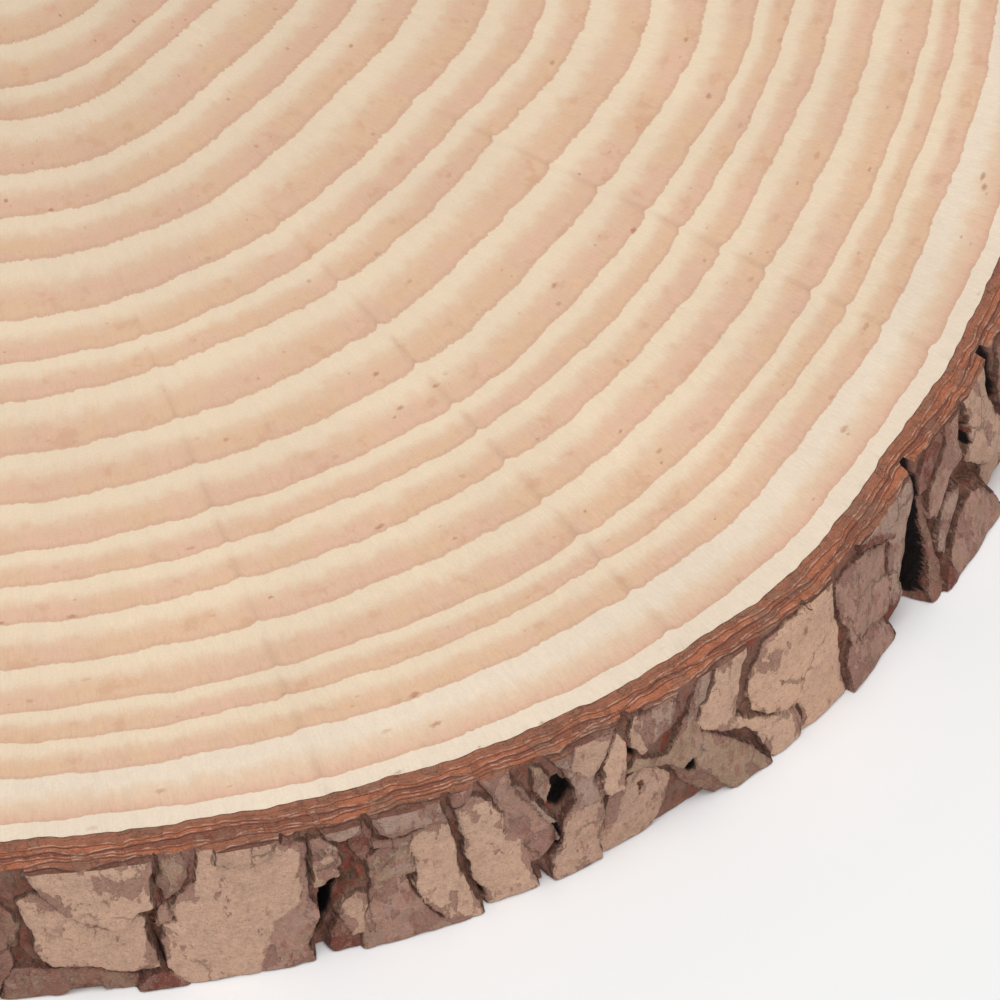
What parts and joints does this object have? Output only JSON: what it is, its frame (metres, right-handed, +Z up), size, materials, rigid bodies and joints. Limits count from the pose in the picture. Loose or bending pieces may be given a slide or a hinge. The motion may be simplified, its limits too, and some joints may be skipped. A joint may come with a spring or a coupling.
{
  "type": "wood slice",
  "caption": "Round slice of a pine trunk, sawn flat on both faces, with growth rings round its pith and a rim of plated, furrowed bark.",
  "frame": {"origin": "the pith, where it crosses the sawn underside that the slice lies on", "axes": "+Z up along the pith and square to both sawn faces, -Y towards the near side of the bark that the picture shows, +X to its right"},
  "size_m": [0.2462, 0.2459, 0.019],
  "materials": {
    "wood": "sawn and sanded, matte",
    "bark": "rough pine bark, matte"
  },
  "bodies": {
    "root": {"wood": "wood", "bark": "bark"}
  },
  "joints": []
}
